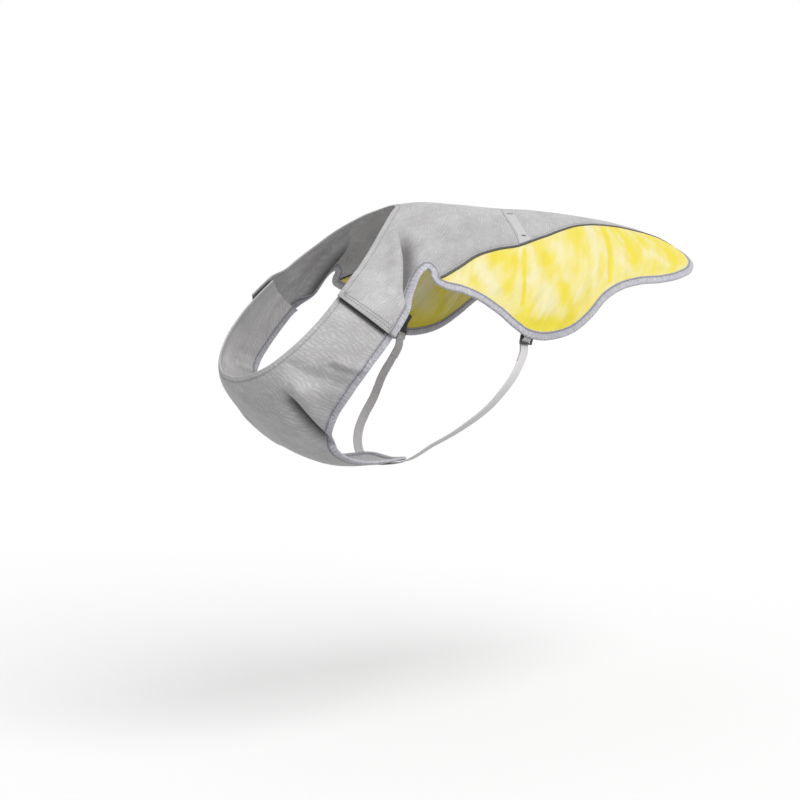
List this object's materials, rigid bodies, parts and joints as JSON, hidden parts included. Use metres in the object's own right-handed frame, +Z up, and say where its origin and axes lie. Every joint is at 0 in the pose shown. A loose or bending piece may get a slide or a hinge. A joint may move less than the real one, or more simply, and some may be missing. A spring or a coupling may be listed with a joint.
{
  "type": "dog cooling vest",
  "caption": "Dog cooling vest in worn shape: grey mesh back, shoulder straps and chest bib, yellow side panels, bound edges, elastic belly strap with sliders.",
  "frame": {"origin": "inner face of the back panel in the middle of the wearer's back, where the back carries the vest", "axes": "+Z up, -Y to the wearer's head, +X to the wearer's left side"},
  "size_m": [0.2616, 0.6723, 0.3115],
  "materials": {
    "grey_mesh": "fine ribbed matt mesh",
    "yellow_nylon": "thin crinkled nylon, half gloss",
    "light_binding": "woven tape, matt",
    "dark_piping": "corded piping, matt",
    "black_hook": "hook tape, matt",
    "grey_loop": "loop tape, napped",
    "grey_elastic": "woven elastic, matt",
    "black_webbing": "woven webbing, matt",
    "black_plastic": "moulded, satin"
  },
  "bodies": {
    "root": {"back_panel": "grey_mesh", "chest_bib": "grey_mesh", "side_panel_left": "yellow_nylon", "side_panel_right": "yellow_nylon", "body_binding": "light_binding", "bib_binding": "light_binding", "piping_left": "dark_piping", "piping_right": "dark_piping", "hook_tape_left": "black_hook", "hook_tape_right": "black_hook", "loop_tape_left": "grey_loop", "loop_tape_right": "grey_loop", "strap_anchor_left": "grey_elastic", "strap_anchor_right": "grey_elastic", "belly_strap": "grey_elastic", "slider_tab_left": "black_webbing", "slider_tab_right": "black_webbing", "slider_left": "black_plastic", "slider_right": "black_plastic"}
  },
  "joints": []
}
